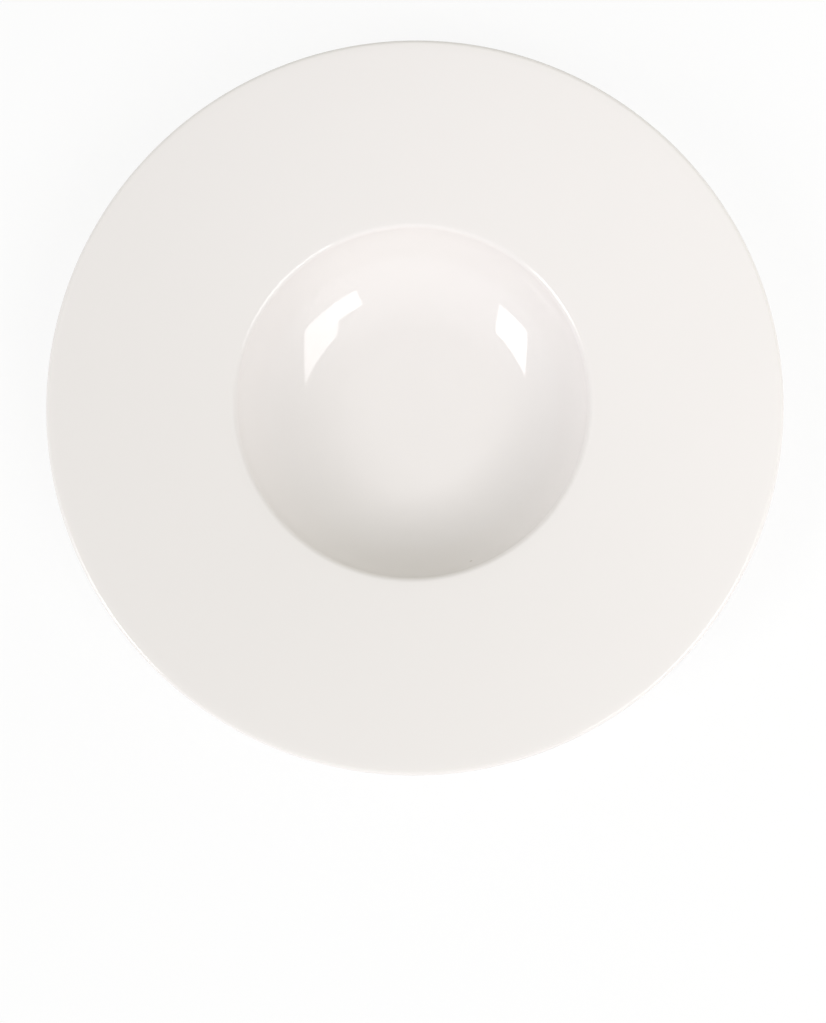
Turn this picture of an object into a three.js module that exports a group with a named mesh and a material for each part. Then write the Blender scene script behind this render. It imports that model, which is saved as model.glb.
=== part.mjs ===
// Deep plate: a wide-rimmed pasta plate of glazed porcelain.
// Millimetres, +Z up. The origin is the centre of the circle that the foot ring stands on.
// The fired body is one piece. The glaze is a thin layer on it, in two sheets that the bare foot ring parts.

import * as THREE from 'three';

// Overall size, over the glaze
const plateDiameter = 300;
const plateHeight = 47;

// Rim: a shallow cone that rises to a half-round edge and thickens towards the well
const rimEdgeThickness = 3.6;
const rimTopSlope = 7.4;
const rimUnderSlope = 8.2;

// Well: a flat floor and a wall that bends up from it to a rounded shoulder
const wellFloorDiameter = 72;
const wellBendDrop = 2.1;
const floorThickness = 4.6;
const shoulderRadius = 2.6;

// Outside of the well: a wider bend, which leaves the wall thinnest halfway up
const bowlFloorDiameter = 67;
const underRimRadius = 9;

// Foot ring: both its walls lean away from the band that it stands on
const footDiameter = 87;
const footRingWidth = 6;
const footOuterLean = 36;
const footInnerLean = 30;
const footEdgeRadius = 1.4;
const footJunctionRadius = 5;
const recessDepth = 2.6;
const recessCornerRadius = 1.5;

// Glaze: how much it adds to the clay, how far it stays off the foot's edges, and the hair's breadth under it
const glazeThickness = 0.35;
const glazeSetback = 0.5;
const glazeClearance = 0.02;

// Fineness of the round shapes
const turnSegments = 60;
const chordError = 0.16;
const fewestArcSteps = 2;

// Directions in the section, where x is the distance from the axis and y the height
const degrees = Math.PI / 180;
const direction = (angle) => new THREE.Vector2(Math.cos(angle), Math.sin(angle));
const angleOf = (from, to) => Math.atan2(to.y - from.y, to.x - from.x);
const along = (point, heading, distance) => point.clone().addScaledVector(heading, distance);

// Outward directions of the straight stretches of the section
const down = -Math.PI / 2;
const up = Math.PI / 2;
const rimTopFacing = up + rimTopSlope * degrees;
const rimUnderFacing = down + rimUnderSlope * degrees;
const footOuterFacing = -footOuterLean * degrees;
const footInnerFacing = -Math.PI + footInnerLean * degrees;

// The higher or lower of the two points where a straight line crosses a circle
function lineMeetsCircle(point, heading, centre, radius, side) {
  const offset = point.clone().sub(centre);
  const middle = -offset.dot(heading);
  const reach = Math.sqrt(middle * middle - offset.lengthSq() + radius * radius);
  return along(point, heading, middle + side * reach);
}

// An arc of the glazed section. A raised arc has its centre in the clay, a hollow one in the air.
function arc(centre, radius, start, end, raised) {
  const finestTurn = 2 * Math.acos(1 - Math.min(chordError / radius, 1));
  const steps = Math.max(fewestArcSteps, Math.ceil(Math.abs(end - start) / finestTurn));
  return { centre, radius, start, end, raised, steps };
}

// The points of an arc, sunk below the glazed surface by a depth
function arcPoints({ centre, radius, start, end, raised, steps }, depth) {
  const sunkRadius = raised ? radius - depth : radius + depth;
  const points = [];
  for (let step = 0; step <= steps; step += 1) {
    const angle = start + (end - start) * step / steps;
    points.push(along(centre, direction(angle), sunkRadius));
  }
  return points;
}

// Rim edge
const rimEdgeRadius = rimEdgeThickness / 2;
const rimEdgeCentre = new THREE.Vector2(plateDiameter / 2 - rimEdgeRadius, plateHeight - rimEdgeRadius);
const rimEdge = arc(rimEdgeCentre, rimEdgeRadius, rimUnderFacing, rimTopFacing, true);

// Bends of the well: the inside is struck from a centre a little below the top of the rim,
// the outside from one level with it
const wellFloorHeight = recessDepth + floorThickness;
const innerBendCentre = new THREE.Vector2(wellFloorDiameter / 2, plateHeight - wellBendDrop);
const innerBendRadius = innerBendCentre.y - wellFloorHeight;
const outerBendCentre = new THREE.Vector2(bowlFloorDiameter / 2, plateHeight);
const outerBendRadius = outerBendCentre.y - recessDepth;

// Shoulder between the rim's top and the well
const shoulderCentre = lineMeetsCircle(
  along(rimEdgeCentre, direction(rimTopFacing), rimEdgeRadius - shoulderRadius),
  direction(rimTopFacing + down),
  innerBendCentre,
  innerBendRadius + shoulderRadius,
  1,
);
const shoulderTurn = angleOf(innerBendCentre, shoulderCentre);
const shoulder = arc(shoulderCentre, shoulderRadius, rimTopFacing, shoulderTurn + Math.PI, true);
const innerBend = arc(innerBendCentre, innerBendRadius, shoulderTurn, down, false);

// Hollow between the rim's underside and the outside of the well
const underRimCentre = lineMeetsCircle(
  along(rimEdgeCentre, direction(rimUnderFacing), rimEdgeRadius + underRimRadius),
  direction(rimUnderFacing + up),
  outerBendCentre,
  outerBendRadius + underRimRadius,
  1,
);
const underRimTurn = angleOf(outerBendCentre, underRimCentre);
const underRim = arc(underRimCentre, underRimRadius, underRimTurn + Math.PI, rimUnderFacing + Math.PI, false);

// Foot ring's rounded edges, whose glazed size counts the layer that is wiped off them
const footRadius = footDiameter / 2;
const glazedFootEdge = footEdgeRadius + glazeThickness;
const outerFootCentre = new THREE.Vector2(footRadius - footEdgeRadius, footEdgeRadius);
const innerFootCentre = new THREE.Vector2(footRadius - footRingWidth + footEdgeRadius, footEdgeRadius);
const outerFootEdge = arc(outerFootCentre, glazedFootEdge, down, footOuterFacing, true);
const innerFootEdge = arc(innerFootCentre, glazedFootEdge, footInnerFacing, down, true);

// Hollow between the foot ring's outer wall and the well
const footJunctionCentre = lineMeetsCircle(
  along(outerFootCentre, direction(footOuterFacing), glazedFootEdge + footJunctionRadius),
  direction(footOuterFacing + up),
  outerBendCentre,
  outerBendRadius + footJunctionRadius,
  -1,
);
const footJunctionTurn = angleOf(outerBendCentre, footJunctionCentre);
const footJunction = arc(
  footJunctionCentre,
  footJunctionRadius,
  footOuterFacing + Math.PI,
  footJunctionTurn + Math.PI,
  false,
);
const outerBend = arc(outerBendCentre, outerBendRadius, footJunctionTurn, underRimTurn, true);

// Hollow corner of the recess inside the foot ring
const recessCornerHeight = recessDepth - recessCornerRadius;
const innerWallFacing = direction(footInnerFacing);
const innerWallOffset = glazedFootEdge + recessCornerRadius;
const recessCornerRise = (recessCornerHeight - innerFootCentre.y) * innerWallFacing.y;
const recessCornerCentre = new THREE.Vector2(
  innerFootCentre.x + (innerWallOffset - recessCornerRise) / innerWallFacing.x,
  recessCornerHeight,
);
const recessCorner = arc(recessCornerCentre, recessCornerRadius, up, footInnerFacing + Math.PI, false);

// Ends of the glaze on the foot ring's walls, a little above its rounded edges
function glazeEnd(centre, facing, upTheWall, depth) {
  const edge = along(centre, direction(facing), glazedFootEdge - depth);
  return along(edge, direction(upTheWall), glazeSetback);
}
const outerGlazeEnd = (depth) => glazeEnd(outerFootCentre, footOuterFacing, footOuterFacing + up, depth);
const innerGlazeEnd = (depth) => glazeEnd(innerFootCentre, footInnerFacing, footInnerFacing + down, depth);

// The stretches of the section at a depth below the glazed surface
const section = (arcs, depth) => arcs.flatMap((bend) => arcPoints(bend, depth));
const recessSection = (depth) => [
  new THREE.Vector2(0, recessDepth + depth),
  ...section([recessCorner], depth),
  innerGlazeEnd(depth),
];
const bareSection = (depth) => section([innerFootEdge, outerFootEdge], depth);
const coatSection = (depth) => [
  outerGlazeEnd(depth),
  ...section([footJunction, outerBend, underRim, rimEdge, shoulder, innerBend], depth),
  new THREE.Vector2(0, wellFloorHeight - depth),
];

// Each closed section is turned about the axis, which then stands upright
function turned(name, points, material) {
  const geometry = new THREE.LatheGeometry(points, turnSegments);
  geometry.rotateX(up);
  const mesh = new THREE.Mesh(geometry, material);
  mesh.name = name;
  return mesh;
}

// Finishes: ivory-white glossy glaze, and the matt fired clay that shows on the foot ring
const glazeFinish = new THREE.MeshStandardMaterial({ color: 0xefebe5, roughness: 0.1, metalness: 0 });
const clayFinish = new THREE.MeshStandardMaterial({ color: 0xe6dfd2, roughness: 0.75, metalness: 0 });

const bodyPoints = [
  ...recessSection(glazeThickness),
  ...bareSection(glazeThickness),
  ...coatSection(glazeThickness),
];
const glazeDepth = glazeThickness - glazeClearance;
const coatPoints = [...coatSection(glazeDepth).reverse(), ...coatSection(0)];
const recessPoints = [...recessSection(0), ...recessSection(glazeDepth).reverse()];

const plate = new THREE.Group();
plate.name = 'deep_plate';
plate.add(turned('porcelain_body', bodyPoints, clayFinish));
plate.add(turned('glaze_coat', coatPoints, glazeFinish));
plate.add(turned('foot_recess_glaze', recessPoints, glazeFinish));

export default plate;
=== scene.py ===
import cmath
import math

import bpy
from mathutils import Matrix, Vector


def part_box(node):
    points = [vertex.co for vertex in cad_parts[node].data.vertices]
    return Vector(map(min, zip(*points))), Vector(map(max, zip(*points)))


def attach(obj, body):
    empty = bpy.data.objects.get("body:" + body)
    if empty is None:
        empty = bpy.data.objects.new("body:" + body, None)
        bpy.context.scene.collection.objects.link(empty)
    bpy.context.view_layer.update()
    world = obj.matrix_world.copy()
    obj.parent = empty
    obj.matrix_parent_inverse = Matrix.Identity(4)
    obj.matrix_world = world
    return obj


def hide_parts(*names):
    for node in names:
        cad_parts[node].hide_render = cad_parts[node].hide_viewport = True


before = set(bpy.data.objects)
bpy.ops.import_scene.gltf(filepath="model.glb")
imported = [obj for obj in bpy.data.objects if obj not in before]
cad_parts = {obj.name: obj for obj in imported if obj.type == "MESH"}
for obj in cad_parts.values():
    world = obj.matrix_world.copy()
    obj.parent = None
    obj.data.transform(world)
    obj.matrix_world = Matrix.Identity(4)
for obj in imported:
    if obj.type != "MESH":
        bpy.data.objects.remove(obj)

scene = bpy.context.scene
scene.view_settings.view_transform = "Standard"
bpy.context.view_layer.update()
print("solids in the frame:", ", ".join(sorted(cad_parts)))

# sizes that the solids give: the plate over its glaze, and how much the glaze adds to the clay
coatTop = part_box("glaze_coat")[1]
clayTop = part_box("porcelain_body")[1]
plateRadius = coatTop.x
plateHeight = coatTop.z
glazeDepth = coatTop.x - clayTop.x

# the rest of the plate's section, in metres and degrees
plateShape = {
    "rimEdge": 0.0036, "rimTopSlope": 7.4, "rimUnderSlope": 8.2,
    "wellFloor": 0.072, "wellBendDrop": 0.0021, "floor": 0.0046, "shoulder": 0.0026,
    "bowlFloor": 0.067, "underRim": 0.009,
    "foot": 0.087, "footWidth": 0.006, "footOuterLean": 36, "footInnerLean": 30,
    "footEdge": 0.0014, "footJunction": 0.005, "recess": 0.0026, "recessCorner": 0.0015,
    "glazeSetback": 0.0005, "glazeGap": 0.00002,
}

# rings of the turned meshes: fine on what shows, coarse where the clay and the glaze's back are covered
meshing = {"turns": 320, "beadSteps": 10, "shortest": 0.000001}
shownRings = {"spacing": 0.0008, "fewestSteps": 10, "longest": 0.003}
coveredRings = {"spacing": 0.003, "fewestSteps": 5, "longest": 0.009}
upper, lower = 1, -1  # which of the two spots where a line crosses a circle


# a section is a list of complex numbers: distance from the axis + height * 1j
def crossing(start, heading, centre, radius, side):
    offset = start - centre
    middle = -(offset.real * math.cos(heading) + offset.imag * math.sin(heading))
    reach = math.sqrt(middle ** 2 - abs(offset) ** 2 + radius ** 2)
    return start + cmath.rect(middle + side * reach, heading)


def bend(centre, radius, start, end, raised):
    return {"centre": centre, "radius": radius, "start": start, "end": end, "raised": raised}


# raised bends have their centre in the clay, so they shrink with depth
def bendSpots(arc, depth, rings):
    radius = arc["radius"] + (-depth if arc["raised"] else depth)
    turn = arc["end"] - arc["start"]
    steps = max(rings["fewestSteps"], math.ceil(abs(turn) * arc["radius"] / rings["spacing"]))
    return [arc["centre"] + cmath.rect(radius, arc["start"] + turn * k / steps) for k in range(steps + 1)]


def fillLongGaps(spots, rings):
    filled = spots[:1]
    for spot in spots[1:]:
        start = filled[-1]
        gap = abs(spot - start)
        if gap < meshing["shortest"]:  # two bends that meet share this spot
            continue
        pieces = math.ceil(gap / rings["longest"])
        filled += [start + (spot - start) * (k + 1) / pieces for k in range(pieces)]
    return filled


# the bends of the glazed section, from the recess out to the rim and back into the well
down, up, half = -math.pi / 2, math.pi / 2, math.pi
rimTopFacing = up + math.radians(plateShape["rimTopSlope"])
rimUnderFacing = down + math.radians(plateShape["rimUnderSlope"])
footOuterFacing = -math.radians(plateShape["footOuterLean"])
footInnerFacing = -half + math.radians(plateShape["footInnerLean"])

edgeRadius = plateShape["rimEdge"] / 2
edgeCentre = complex(plateRadius - edgeRadius, plateHeight - edgeRadius)
rimEdge = bend(edgeCentre, edgeRadius, rimUnderFacing, rimTopFacing, True)

recessDepth = plateShape["recess"]
wellFloorHeight = recessDepth + plateShape["floor"]
insideCentre = complex(plateShape["wellFloor"] / 2, plateHeight - plateShape["wellBendDrop"])
insideRadius = insideCentre.imag - wellFloorHeight
outsideCentre = complex(plateShape["bowlFloor"] / 2, plateHeight)
outsideRadius = plateHeight - recessDepth

shoulderRadius = plateShape["shoulder"]
shoulderStart = edgeCentre + cmath.rect(edgeRadius - shoulderRadius, rimTopFacing)
shoulderReach = insideRadius + shoulderRadius
shoulderCentre = crossing(shoulderStart, rimTopFacing + down, insideCentre, shoulderReach, upper)
shoulderTurn = cmath.phase(shoulderCentre - insideCentre)
shoulder = bend(shoulderCentre, shoulderRadius, rimTopFacing, shoulderTurn + half, True)
wellInside = bend(insideCentre, insideRadius, shoulderTurn, down, False)

underRimRadius = plateShape["underRim"]
underRimStart = edgeCentre + cmath.rect(edgeRadius + underRimRadius, rimUnderFacing)
underRimReach = outsideRadius + underRimRadius
underRimCentre = crossing(underRimStart, rimUnderFacing + up, outsideCentre, underRimReach, upper)
underRimTurn = cmath.phase(underRimCentre - outsideCentre)
underRim = bend(underRimCentre, underRimRadius, underRimTurn + half, rimUnderFacing + half, False)

footEdge = plateShape["footEdge"]
glazedFootEdge = footEdge + glazeDepth
footRadius = plateShape["foot"] / 2
outerFootCentre = complex(footRadius - footEdge, footEdge)
innerFootCentre = complex(footRadius - plateShape["footWidth"] + footEdge, footEdge)
outerFootEdge = bend(outerFootCentre, glazedFootEdge, down, footOuterFacing, True)
innerFootEdge = bend(innerFootCentre, glazedFootEdge, footInnerFacing, down, True)

junctionRadius = plateShape["footJunction"]
junctionStart = outerFootCentre + cmath.rect(glazedFootEdge + junctionRadius, footOuterFacing)
junctionReach = outsideRadius + junctionRadius
junctionCentre = crossing(junctionStart, footOuterFacing + up, outsideCentre, junctionReach, lower)
junctionTurn = cmath.phase(junctionCentre - outsideCentre)
footJunction = bend(junctionCentre, junctionRadius, footOuterFacing + half, junctionTurn + half, False)
wellOutside = bend(outsideCentre, outsideRadius, junctionTurn, underRimTurn, True)

cornerRadius = plateShape["recessCorner"]
cornerHeight = recessDepth - cornerRadius
innerWallNormal = cmath.rect(1, footInnerFacing)
cornerRise = (cornerHeight - innerFootCentre.imag) * innerWallNormal.imag
cornerReach = (glazedFootEdge + cornerRadius - cornerRise) / innerWallNormal.real
cornerCentre = complex(innerFootCentre.real + cornerReach, cornerHeight)
recessCorner = bend(cornerCentre, cornerRadius, up, footInnerFacing + half, False)


def glazeStop(centre, facing, upWall, depth):
    edge = centre + cmath.rect(glazedFootEdge - depth, facing)
    return edge + cmath.rect(plateShape["glazeSetback"], upWall)


# stretches of the section, sunk below the glazed surface by a depth
def recessPath(depth, rings):
    stop = glazeStop(innerFootCentre, footInnerFacing, footInnerFacing + down, depth)
    spots = [complex(0, recessDepth + depth), *bendSpots(recessCorner, depth, rings), stop]
    return fillLongGaps(spots, rings)


def barePath(depth, rings):
    spots = bendSpots(innerFootEdge, depth, rings) + bendSpots(outerFootEdge, depth, rings)
    return fillLongGaps(spots, rings)


def coatPath(depth, rings):
    spots = [glazeStop(outerFootCentre, footOuterFacing, footOuterFacing + up, depth)]
    for arc in (footJunction, wellOutside, underRim, rimEdge, shoulder, wellInside):
        spots += bendSpots(arc, depth, rings)
    return fillLongGaps(spots + [complex(0, wellFloorHeight - depth)], rings)


# the glaze ends in a small rolled bead, from the clay side round to the glazed side or back
def bead(first, last, turn):
    centre, radius = (first + last) / 2, abs(last - first) / 2
    start = cmath.phase(first - centre)
    steps = meshing["beadSteps"]
    return [centre + cmath.rect(radius, start + turn * k / steps) for k in range(1, steps)]


# the fired clay is never quite true: from the foot outwards the rim dips and lifts a little on its way round
firing = {"twoDips": 0.00011, "threeDips": 0.00007, "twoAngle": 0.7, "threeAngle": 2.1}


def firedLift(radius, angle):
    lift = firing["twoDips"] * math.cos(2 * angle + firing["twoAngle"])
    lift += firing["threeDips"] * math.cos(3 * angle + firing["threeAngle"])
    return lift * (max(0, radius - footRadius) / (plateRadius - footRadius)) ** 2


def turnedPiece(name, section, nodeName, material):
    turns = meshing["turns"]
    spots, rings, faces = [], [], []
    for spot in section:
        onAxis = spot.real < meshing["shortest"]
        ring = []
        for k in range(1 if onAxis else turns):
            angle = math.tau * k / turns
            lift = firedLift(spot.real, angle)
            ring.append(len(spots))
            spots.append((spot.real * math.cos(angle), spot.real * math.sin(angle), spot.imag + lift))
        rings.append(ring)
    for low, high in zip(rings, rings[1:]):
        for k in range(turns):
            after = (k + 1) % turns
            if len(low) == 1:
                faces.append((low[0], high[after], high[k]))
            elif len(high) == 1:
                faces.append((low[k], low[after], high[0]))
            else:
                faces.append((low[k], low[after], high[after], high[k]))
    mesh = bpy.data.meshes.new(name)
    mesh.from_pydata(spots, [], faces)
    mesh.shade_smooth()
    mesh.materials.append(material)
    piece = bpy.data.objects.new(name, mesh)
    scene.collection.objects.link(piece)
    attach(piece, "root")
    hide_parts(nodeName)
    print("turned", name, len(faces), "faces")


# shader helpers: a socket takes a link from another socket, or a value of its own
def feed(tree, socket, value):
    if isinstance(value, bpy.types.NodeSocket):
        tree.links.new(value, socket)
    else:
        socket.default_value = value


def addNode(tree, kind, **values):
    node = tree.nodes.new(kind)
    for key, value in values.items():
        if key in node.inputs:
            feed(tree, node.inputs[key], value)
        else:
            setattr(node, key, value)
    return node


def maths(tree, operation, *values, clamp=False):
    node = addNode(tree, "ShaderNodeMath", operation=operation, use_clamp=clamp)
    for socket, value in zip(node.inputs, values):
        feed(tree, socket, value)
    return node.outputs[0]


def lengthOf(tree, first, second):
    squares = [maths(tree, "MULTIPLY", side, side) for side in (first, second)]
    return maths(tree, "SQRT", maths(tree, "ADD", *squares))


def objectSpot(tree):
    return addNode(tree, "ShaderNodeTexCoord").outputs["Object"]


def noise(tree, **values):
    return addNode(tree, "ShaderNodeTexNoise", **values).outputs[0]


def radiusAndHeight(tree):
    split = addNode(tree, "ShaderNodeSeparateXYZ", Vector=objectSpot(tree))
    return lengthOf(tree, split.outputs["X"], split.outputs["Y"]), split.outputs["Z"]


def fadeBetween(tree, distance, near, far, nearValue, farValue):
    limits = {"From Min": near, "From Max": far, "To Min": nearValue, "To Max": farValue}
    fade = addNode(tree, "ShaderNodeMapRange", interpolation_type="SMOOTHSTEP", Value=distance, **limits)
    return fade.outputs[0]


# a Mix node has sockets for each kind of data, and these are the places of its colours
mixPlaces = {"first": 6, "second": 7, "result": 2}


def blendColors(tree, share, first, second):
    blend = addNode(tree, "ShaderNodeMix", data_type="RGBA", Factor=share)
    feed(tree, blend.inputs[mixPlaces["first"]], first)
    feed(tree, blend.inputs[mixPlaces["second"]], second)
    return blend.outputs[mixPlaces["result"]]


def mixShaders(tree, share, first, second):
    mix = addNode(tree, "ShaderNodeMixShader")
    for socket, source in zip(mix.inputs, (share, first, second)):
        tree.links.new(source, socket)
    return mix.outputs[0]


# node groups for what the two glazes share: each has plain inputs and one output
socketKinds = {float: "NodeSocketFloat", tuple: "NodeSocketColor"}


def newGroup(name, inputs, outputName, outputType=float):
    group = bpy.data.node_groups.new(name, "ShaderNodeTree")
    for label, value in inputs.items():
        socket = group.interface.new_socket(label, in_out="INPUT", socket_type=socketKinds[type(value)])
        socket.default_value = value
    group.interface.new_socket(outputName, in_out="OUTPUT", socket_type=socketKinds[outputType])
    given = group.nodes.new("NodeGroupInput").outputs
    result = group.nodes.new("NodeGroupOutput").inputs[outputName]
    return group, given, result


def placeGroup(tree, group, values):
    node = tree.nodes.new("ShaderNodeGroup")
    node.node_tree = group
    for key, value in values.items():
        node.inputs[key].default_value = value
    return node.outputs[0]


# soft band around a ring on the plate, where glaze gathers or runs thin
def makeRingBand():
    group, given, result = newGroup("ringBand", {"Radius": 0.05, "Height": 0.005, "Reach": 0.003}, "Mask")
    radius, height = radiusAndHeight(group)
    outward = maths(group, "SUBTRACT", radius, given["Radius"])
    upward = maths(group, "SUBTRACT", height, given["Height"])
    away = lengthOf(group, outward, upward)
    feed(group, result, fadeBetween(group, away, 0.0, given["Reach"], 1.0, 0.0))
    return group


# slow cloudy drift of the ivory tone
cloudNoise = {"Detail": 3.0, "Roughness": 0.55}


def makeGlazeClouds():
    inputs = {"Color": (1, 1, 1, 1), "Cloud": (1, 1, 1, 1), "Size": 30.0, "Strength": 0.5}
    group, given, result = newGroup("glazeClouds", inputs, "Color", tuple)
    clouds = noise(group, Vector=objectSpot(group), Scale=given["Size"], **cloudNoise)
    share = maths(group, "MULTIPLY", clouds, given["Strength"])
    feed(group, result, blendColors(group, share, given["Color"], given["Cloud"]))
    return group


# the faint unevenness of poured glaze: long ripples and a fine orange peel
rippleDetail = 1.0
peelDetail = 2.0


def makeGlazeRipple():
    inputs = {"Ripple Size": 60.0, "Peel Size": 500.0, "Peel Share": 0.1}
    group, given, result = newGroup("glazeRipple", inputs, "Height")
    spot = objectSpot(group)
    ripple = noise(group, Vector=spot, Scale=given["Ripple Size"], Detail=rippleDetail)
    peel = noise(group, Vector=spot, Scale=given["Peel Size"], Detail=peelDetail)
    fine = maths(group, "MULTIPLY", peel, given["Peel Share"])
    feed(group, result, maths(group, "ADD", ripple, fine))
    return group


# a few iron specks and pinholes, one in some cells of a coarse scatter
def makeGlazeSpecks():
    group, given, result = newGroup("glazeSpecks", {"Spread": 40.0, "Speck": 0.01, "Share": 0.1}, "Mask")
    cells = addNode(group, "ShaderNodeTexVoronoi", Vector=objectSpot(group), Scale=given["Spread"])
    dice = addNode(group, "ShaderNodeSeparateColor", Color=cells.outputs["Color"])
    chosen = maths(group, "LESS_THAN", dice.outputs["Red"], given["Share"])
    reach = maths(group, "MULTIPLY", given["Speck"], dice.outputs["Green"])
    near = maths(group, "LESS_THAN", cells.outputs["Distance"], reach)
    feed(group, result, maths(group, "MULTIPLY", chosen, near))
    return group


# gloss that drifts a little, from the glaze's melt and from handling
driftNoise = {"Detail": 4.0, "Roughness": 0.6}
driftLimits = {"From Min": 0.3, "From Max": 0.7}


def makeGlossDrift():
    inputs = {"Glossiest": 0.04, "Dullest": 0.08, "Size": 25.0}
    group, given, result = newGroup("glossDrift", inputs, "Roughness")
    drift = noise(group, Vector=objectSpot(group), Scale=given["Size"], **driftNoise)
    level = addNode(group, "ShaderNodeMapRange", Value=drift, **driftLimits)
    feed(group, level.inputs["To Min"], given["Glossiest"])
    feed(group, level.inputs["To Max"], given["Dullest"])
    feed(group, result, level.outputs[0])
    return group


ringBand, glazeClouds, glazeRipple = makeRingBand(), makeGlazeClouds(), makeGlazeRipple()
glazeSpecks, glossDrift = makeGlazeSpecks(), makeGlossDrift()


def newMaterial(name):
    material = bpy.data.materials.new(name)
    material.use_nodes = True
    return material, material.node_tree, material.node_tree.nodes["Principled BSDF"]


def tintBy(tree, mask, base, tint, strength):
    return blendColors(tree, maths(tree, "MULTIPLY", mask, strength), base, tint)


def spotMask(tree, place, reach):
    away = addNode(tree, "ShaderNodeVectorMath", operation="DISTANCE")
    feed(tree, away.inputs[0], objectSpot(tree))
    feed(tree, away.inputs[1], place)
    return fadeBetween(tree, away.outputs["Value"], 0.0, reach, 1.0, 0.0)


def bumpFrom(tree, shader, height, distance, strength):
    bump = addNode(tree, "ShaderNodeBump", Height=height, Distance=distance, Strength=strength)
    feed(tree, shader.inputs["Normal"], bump.outputs["Normal"])


def glazeMaterial(name, look):
    material, tree, shader = newMaterial(name)
    color = placeGroup(tree, glazeClouds, look["clouds"])
    for band in look["bands"]:
        ring = {"Radius": band["ring"].real, "Height": band["ring"].imag, "Reach": band["reach"]}
        color = tintBy(tree, placeGroup(tree, ringBand, ring), color, band["tint"], band["strength"])
    specks = placeGroup(tree, glazeSpecks, look["specks"])
    color = tintBy(tree, specks, color, look["speckTint"], look["speckStrength"])
    for spot in look["ironSpots"]:
        mask = spotMask(tree, spot["at"], spot["reach"])
        color = tintBy(tree, mask, color, spot["tint"], spot["strength"])
    feed(tree, shader.inputs["Base Color"], color)
    feed(tree, shader.inputs["Roughness"], placeGroup(tree, glossDrift, look["gloss"]))
    bumpFrom(tree, shader, placeGroup(tree, glazeRipple, look["ripple"]), look["rippleHeight"], 1.0)
    shader.inputs["IOR"].default_value = look["ior"]
    return material


# the main glaze: thin and warm round the rim's edge, gathered above the foot, one iron spot in the well
footGather = {"inward": 0.0015, "upward": 0.0040}
gatherRing = complex(junctionCentre.real - footGather["inward"], junctionCentre.imag + footGather["upward"])
coatLook = {
    "clouds": {"Color": (0.870, 0.835, 0.822, 1), "Cloud": (0.850, 0.816, 0.804, 1),
               "Size": 14, "Strength": 0.6},
    "bands": [
        {"ring": edgeCentre, "reach": 0.0026, "tint": (0.88, 0.85, 0.81, 1), "strength": 0.5},
        {"ring": gatherRing, "reach": 0.004, "tint": (0.79, 0.75, 0.68, 1), "strength": 0.5},
    ],
    "ironSpots": [
        {"at": (0.02425, -0.06589, 0.02908), "reach": 0.0009,
         "tint": (0.42, 0.37, 0.31, 1), "strength": 0.6},
    ],
    "specks": {"Spread": 38, "Speck": 0.016, "Share": 0.02},
    "speckTint": (0.20, 0.16, 0.12, 1), "speckStrength": 0.6,
    "gloss": {"Glossiest": 0.035, "Dullest": 0.06, "Size": 22},
    "ripple": {"Ripple Size": 45, "Peel Size": 420, "Peel Share": 0.03}, "rippleHeight": 0.00002,
    "ior": 1.52,
}
coatGlaze = glazeMaterial("ivoryGlaze", coatLook)

# the glaze inside the foot ring: poured less evenly, with more specks
recessLook = {
    "clouds": {"Color": (0.845, 0.812, 0.768, 1), "Cloud": (0.815, 0.78, 0.735, 1),
               "Size": 26, "Strength": 0.8},
    "bands": [
        {"ring": complex(cornerCentre.real, recessDepth), "reach": 0.003,
         "tint": (0.79, 0.75, 0.68, 1), "strength": 0.6},
    ],
    "ironSpots": [],
    "specks": {"Spread": 60, "Speck": 0.02, "Share": 0.06},
    "speckTint": (0.24, 0.19, 0.14, 1), "speckStrength": 0.6,
    "gloss": {"Glossiest": 0.05, "Dullest": 0.11, "Size": 30},
    "ripple": {"Ripple Size": 70, "Peel Size": 420, "Peel Share": 0.08}, "rippleHeight": 0.00010,
    "ior": 1.52,
}
recessGlaze = glazeMaterial("recessGlaze", recessLook)
print("glazes mixed")

# the foot ring is bare: matt fired clay with fine grit, rubbed grey in places where it stands
clayLook = {
    "pale": (0.80, 0.755, 0.675, 1), "deep": (0.70, 0.645, 0.555, 1),
    "grit": {"Scale": 2600, "Detail": 3.0}, "gritHeight": 0.00003, "gritStrength": 0.8,
    "rubbed": (0.50, 0.48, 0.45, 1), "rubStrength": 0.7, "rubbedUpTo": footEdge / 4,
    "rubPatches": {"Scale": 46, "Detail": 2.0}, "patchLimits": {"From Min": 0.48, "From Max": 0.7},
    "rubStreaks": {"Scale": 5200, "Detail": 2.0},
    "roughest": 0.85, "smoothest": 0.6,
}


def clayMaterial(look):
    material, tree, shader = newMaterial("bareClay")
    spot = objectSpot(tree)
    radius, height = radiusAndHeight(tree)
    grit = noise(tree, Vector=spot, **look["grit"])
    patches = noise(tree, Vector=spot, **look["rubPatches"])
    patchy = addNode(tree, "ShaderNodeMapRange", Value=patches, **look["patchLimits"]).outputs[0]
    streaks = noise(tree, noise_dimensions="1D", W=radius, **look["rubStreaks"])
    low = maths(tree, "LESS_THAN", height, look["rubbedUpTo"])
    rub = maths(tree, "MULTIPLY", maths(tree, "MULTIPLY", low, patchy), streaks, clamp=True)
    tone = blendColors(tree, grit, look["pale"], look["deep"])
    feed(tree, shader.inputs["Base Color"], tintBy(tree, rub, tone, look["rubbed"], look["rubStrength"]))
    mattLimits = {"To Min": look["roughest"], "To Max": look["smoothest"]}
    matt = addNode(tree, "ShaderNodeMapRange", Value=rub, **mattLimits)
    feed(tree, shader.inputs["Roughness"], matt.outputs[0])
    bumpFrom(tree, shader, grit, look["gritHeight"], look["gritStrength"])
    return material


bareClay = clayMaterial(clayLook)
print("clay mixed")

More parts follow.
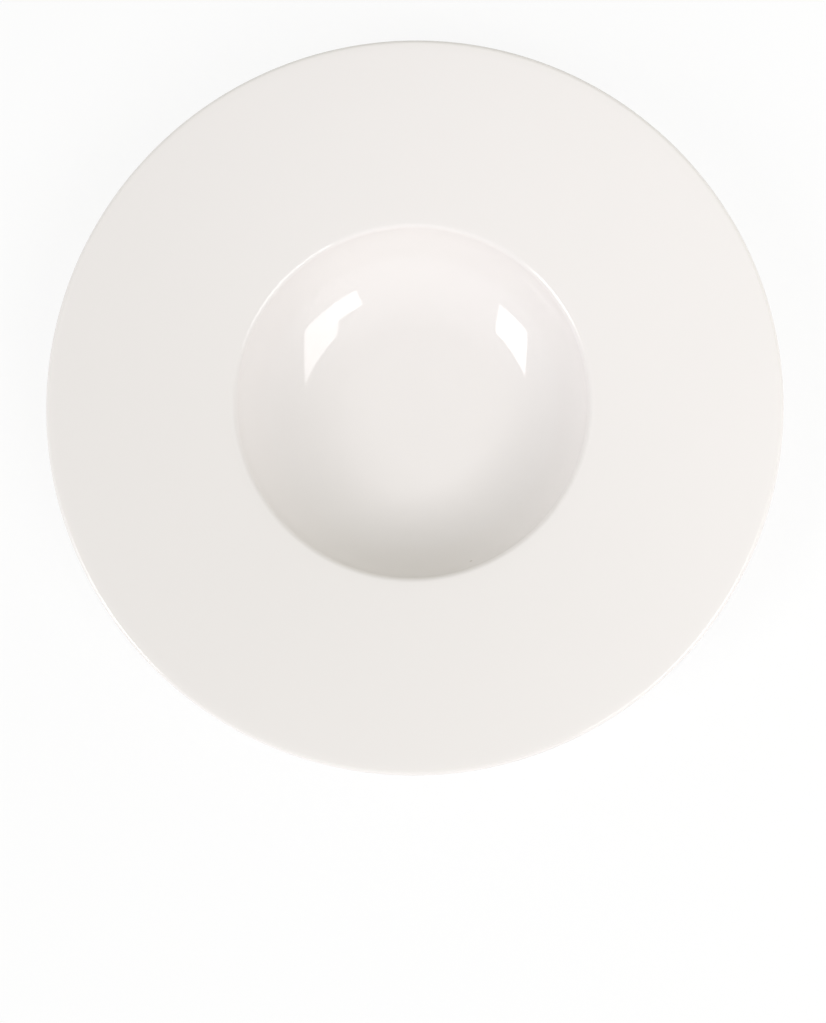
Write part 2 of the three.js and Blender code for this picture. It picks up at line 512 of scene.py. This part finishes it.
# the three pieces, each a closed section turned about the axis
clayRecess, clayUpper = recessPath(glazeDepth, coveredRings), coatPath(glazeDepth, coveredRings)
claySection = clayRecess + barePath(glazeDepth, shownRings) + clayUpper
glazeUnder = glazeDepth - plateShape["glazeGap"]
coatInner, coatOuter = coatPath(glazeUnder, coveredRings)[::-1], coatPath(0, shownRings)
coatSection = coatInner + bead(coatInner[-1], coatOuter[0], -half) + coatOuter
recessOuter, recessInner = recessPath(0, shownRings), recessPath(glazeUnder, coveredRings)[::-1]
recessSection = recessOuter + bead(recessOuter[-1], recessInner[0], half) + recessInner

turnedPiece("clayBody", claySection, "porcelain_body", bareClay)
turnedPiece("glazeCoat", coatSection, "glaze_coat", coatGlaze)
turnedPiece("recessGlaze", recessSection, "foot_recess_glaze", recessGlaze)

# camera: nearly straight above, leaning back towards the front and a little to the right
# the plate sits high in the picture, so the lens is shifted while the camera looks at the plate itself
imageSize = (826, 1023)
cameraView = {
    "lens": 47.67, "sensor": 36.0, "nearest": 0.01, "farthest": 50,
    "away": 0.550, "front": 5.4, "right": 2.5,
    "looksAt": (0.0010, 0.0, 0.0460), "looksAtRow": 398.6,
}
lookAt = Vector(cameraView["looksAt"])
leanRight, leanFront = (math.tan(math.radians(cameraView[side])) for side in ("right", "front"))
backward = Vector((leanRight, -leanFront, 1)).normalized()
sideways = Vector((0, 1, 0)).cross(backward).normalized()
cameraAxes = Matrix((sideways, backward.cross(sideways), backward)).transposed()
camera = bpy.data.objects.new("plateCamera", bpy.data.cameras.new("plateCamera"))
scene.collection.objects.link(camera)
camera.data.lens, camera.data.sensor_width = cameraView["lens"], cameraView["sensor"]
camera.data.clip_start, camera.data.clip_end = cameraView["nearest"], cameraView["farthest"]
camera.data.shift_y = (cameraView["looksAtRow"] - imageSize[1] / 2) / max(imageSize)
camera.matrix_world = Matrix.Translation(lookAt + backward * cameraView["away"]) @ cameraAxes.to_4x4()
scene.camera = camera
print("camera at", [round(value, 3) for value in camera.matrix_world.translation])

# light: two tall softboxes in front, a narrow one beside the right one, and a white card close on the right
lampAim = Vector((0, 0, wellFloorHeight))
softboxes = {
    "leftSoftbox": {"azimuth": -61.7, "elevation": 42.7, "away": 2.2,
                    "width": 0.64, "height": 1.25, "roll": 22, "glow": 5.7},
    "rightSoftbox": {"azimuth": 57.0, "elevation": 50.7, "away": 2.2,
                     "width": 0.70, "height": 1.40, "roll": -23, "glow": 3.8},
    "narrowSoftbox": {"azimuth": 34.8, "elevation": 47.1, "away": 2.2,
                      "width": 0.42, "height": 0.84, "roll": -7, "glow": 4.4},
    "whiteCard": {"azimuth": 90.0, "elevation": 33.0, "away": 0.62,
                  "width": 0.64, "height": 0.54, "roll": 0, "glow": 1.0, "mirrored": False},
}


def addSoftbox(name, box):
    side, rise = math.radians(box["azimuth"]), math.radians(box["elevation"])
    outward = Vector((math.sin(side) * math.cos(rise), -math.cos(side) * math.cos(rise), math.sin(rise)))
    level = Vector((0, 0, 1)).cross(outward).normalized()
    upright = outward.cross(level)
    rolled = Matrix.Rotation(math.radians(box["roll"]), 3, outward)
    axes = Matrix((rolled @ level, rolled @ upright, outward)).transposed()
    lamp = bpy.data.lights.new(name, "AREA")
    lamp.shape, lamp.size, lamp.size_y = "RECTANGLE", box["width"], box["height"]
    lamp.energy = box["glow"] * math.pi * box["width"] * box["height"]  # the glow is how bright it looks
    rig = bpy.data.objects.new(name, lamp)
    rig.matrix_world = Matrix.Translation(lampAim + outward * box["away"]) @ axes.to_4x4()
    rig.visible_camera = False
    rig.visible_glossy = box.get("mirrored", True)
    scene.collection.objects.link(rig)


for boxName, box in softboxes.items():
    addSoftbox(boxName, box)
print("lamps hung:", len(softboxes))

# rays from the camera, and those seen in the glaze, find a white surround; the rest find the room's light
plainWhite = {"Color": (1, 1, 1, 1), "Strength": 1.0}


def seenDirectly(tree):
    path = addNode(tree, "ShaderNodeLightPath")
    shiny = maths(tree, "MAXIMUM", path.outputs["Is Glossy Ray"], path.outputs["Is Transmission Ray"])
    return maths(tree, "MAXIMUM", path.outputs["Is Camera Ray"], shiny)


# the room's four walls glow a little, most of all the left one, and the one behind is warm
roomWalls = {
    "left": {"axis": "X", "side": -1, "glow": (0.88, 0.90, 0.97)},
    "right": {"axis": "X", "side": 1, "glow": (0.24, 0.25, 0.28)},
    "front": {"axis": "Y", "side": -1, "glow": (0.56, 0.55, 0.50)},
    "back": {"axis": "Y", "side": 1, "glow": (0.38, 0.38, 0.24)},
}


def makeRoom(walls):
    scene.world = bpy.data.worlds.new("whiteRoom")
    scene.world.use_nodes = True
    tree = scene.world.node_tree
    heading = addNode(tree, "ShaderNodeTexCoord").outputs["Generated"]
    toward = addNode(tree, "ShaderNodeSeparateXYZ", Vector=heading)
    glow = None
    for wall in walls.values():
        facing = maths(tree, "MULTIPLY", toward.outputs[wall["axis"]], wall["side"], clamp=True)
        lit = addNode(tree, "ShaderNodeVectorMath", operation="SCALE", Scale=facing)
        lit.inputs[0].default_value = wall["glow"]
        if glow:
            joined = addNode(tree, "ShaderNodeVectorMath", operation="ADD")
            feed(tree, joined.inputs[0], glow)
            feed(tree, joined.inputs[1], lit.outputs[0])
            lit = joined
        glow = lit.outputs[0]
    room = tree.nodes["Background"]
    feed(tree, room.inputs["Color"], glow)
    surround = addNode(tree, "ShaderNodeBackground", **plainWhite)
    seen = mixShaders(tree, seenDirectly(tree), room.outputs[0], surround.outputs[0])
    feed(tree, tree.nodes["World Output"].inputs["Surface"], seen)


makeRoom(roomWalls)

# pale table, seen as white but for the plate's soft shadow, and far off as plain white as the surround
# a faint warm glow under the rim, for bounced light alone, is what a white table throws up at the well
tableLook = {
    "size": 40.0, "drop": 0.00005, "footHole": 0.042, "color": (0.93, 0.93, 0.93, 1),
    "whiteShare": 0.85, "shadedReach": 0.4, "whiteReach": 1.2,
    "underglow": 0.41, "underglowTint": (1.0, 0.98, 0.80, 1),
    "glowInner": 0.037, "glowFull": 0.09, "glowOuter": 0.15,
}


def tableMaterial(look):
    material, tree, shader = newMaterial("paleTable")
    material.cycles.emission_sampling = "NONE"  # so wide a glow is found by bounced light alone
    shader.inputs["Base Color"].default_value = look["color"]
    shader.inputs["Roughness"].default_value = 1.0
    shader.inputs["Specular IOR Level"].default_value = 0.0
    shader.inputs["Emission Color"].default_value = look["underglowTint"]
    path = addNode(tree, "ShaderNodeLightPath")
    length = addNode(tree, "ShaderNodeVectorMath", operation="LENGTH")
    feed(tree, length.inputs[0], objectSpot(tree))
    away = length.outputs["Value"]
    rise = fadeBetween(tree, away, look["glowInner"], look["glowFull"], 0.0, look["underglow"])
    fall = fadeBetween(tree, away, look["glowFull"], look["glowOuter"], 1.0, 0.0)
    glow = maths(tree, "MULTIPLY", path.outputs["Is Diffuse Ray"], maths(tree, "MULTIPLY", rise, fall))
    feed(tree, shader.inputs["Emission Strength"], glow)
    share = fadeBetween(tree, away, look["shadedReach"], look["whiteReach"], look["whiteShare"], 1.0)
    white = addNode(tree, "ShaderNodeEmission", **plainWhite)
    whitened = maths(tree, "MULTIPLY", seenDirectly(tree), share)
    top = mixShaders(tree, whitened, shader.outputs[0], white.outputs[0])
    # a look from below goes through the table, and a hole under the foot lets light into the recess
    backfacing = addNode(tree, "ShaderNodeNewGeometry").outputs["Backfacing"]
    below = maths(tree, "MULTIPLY", path.outputs["Is Camera Ray"], backfacing)
    hole = maths(tree, "LESS_THAN", away, look["footHole"])
    clear = addNode(tree, "ShaderNodeBsdfTransparent")
    oneSided = mixShaders(tree, maths(tree, "MAXIMUM", below, hole), top, clear.outputs[0])
    feed(tree, tree.nodes["Material Output"].inputs["Surface"], oneSided)
    return material


def makeTable(look):
    reach = look["size"] / 2
    mesh = bpy.data.meshes.new("paleTable")
    outline = ((-reach, -reach), (reach, -reach), (reach, reach), (-reach, reach))
    mesh.from_pydata([(x, y, -look["drop"]) for x, y in outline], [], [(0, 1, 2, 3)])
    mesh.materials.append(tableMaterial(look))
    table = bpy.data.objects.new("paleTable", mesh)
    scene.collection.objects.link(table)


makeTable(tableLook)
print("room and table set")
